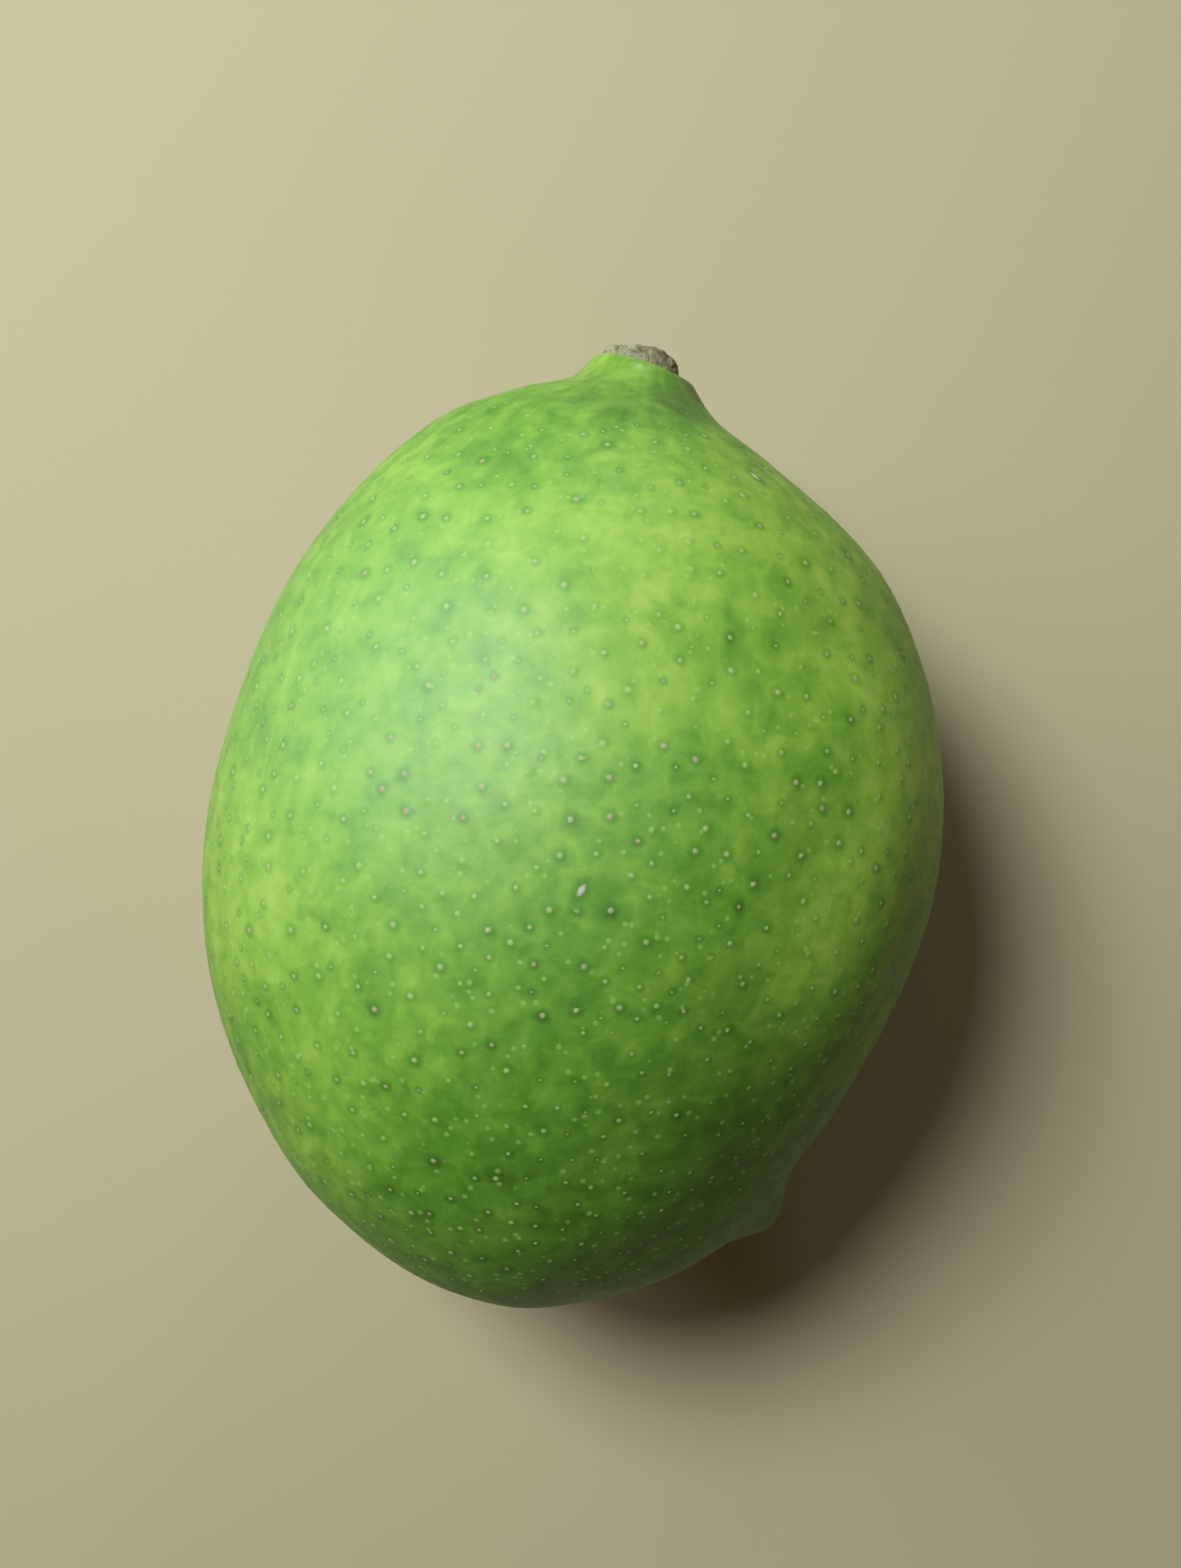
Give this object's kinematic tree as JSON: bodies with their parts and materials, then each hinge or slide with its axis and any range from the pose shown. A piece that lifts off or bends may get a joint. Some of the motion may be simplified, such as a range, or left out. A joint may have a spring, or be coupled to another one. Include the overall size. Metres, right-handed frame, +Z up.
{
  "type": "mango",
  "caption": "Whole green mango lying on its broad side, with a short neck, a small beak by the tip and the corky end of its stalk seated in the neck.",
  "frame": {"origin": "centre of the small flat spot the fruit rests on, straight below its centre of mass", "axes": "+Z up, through the fruit's thickness; +Y from the tip towards the stalk; +X across its width, towards the side with the beak"},
  "size_m": [0.0867, 0.1141, 0.0757],
  "materials": {
    "mango_skin": "satin",
    "stalk_cork": "matte"
  },
  "bodies": {
    "root": {"fruit": "mango_skin", "stem_stub": "stalk_cork"}
  },
  "joints": []
}
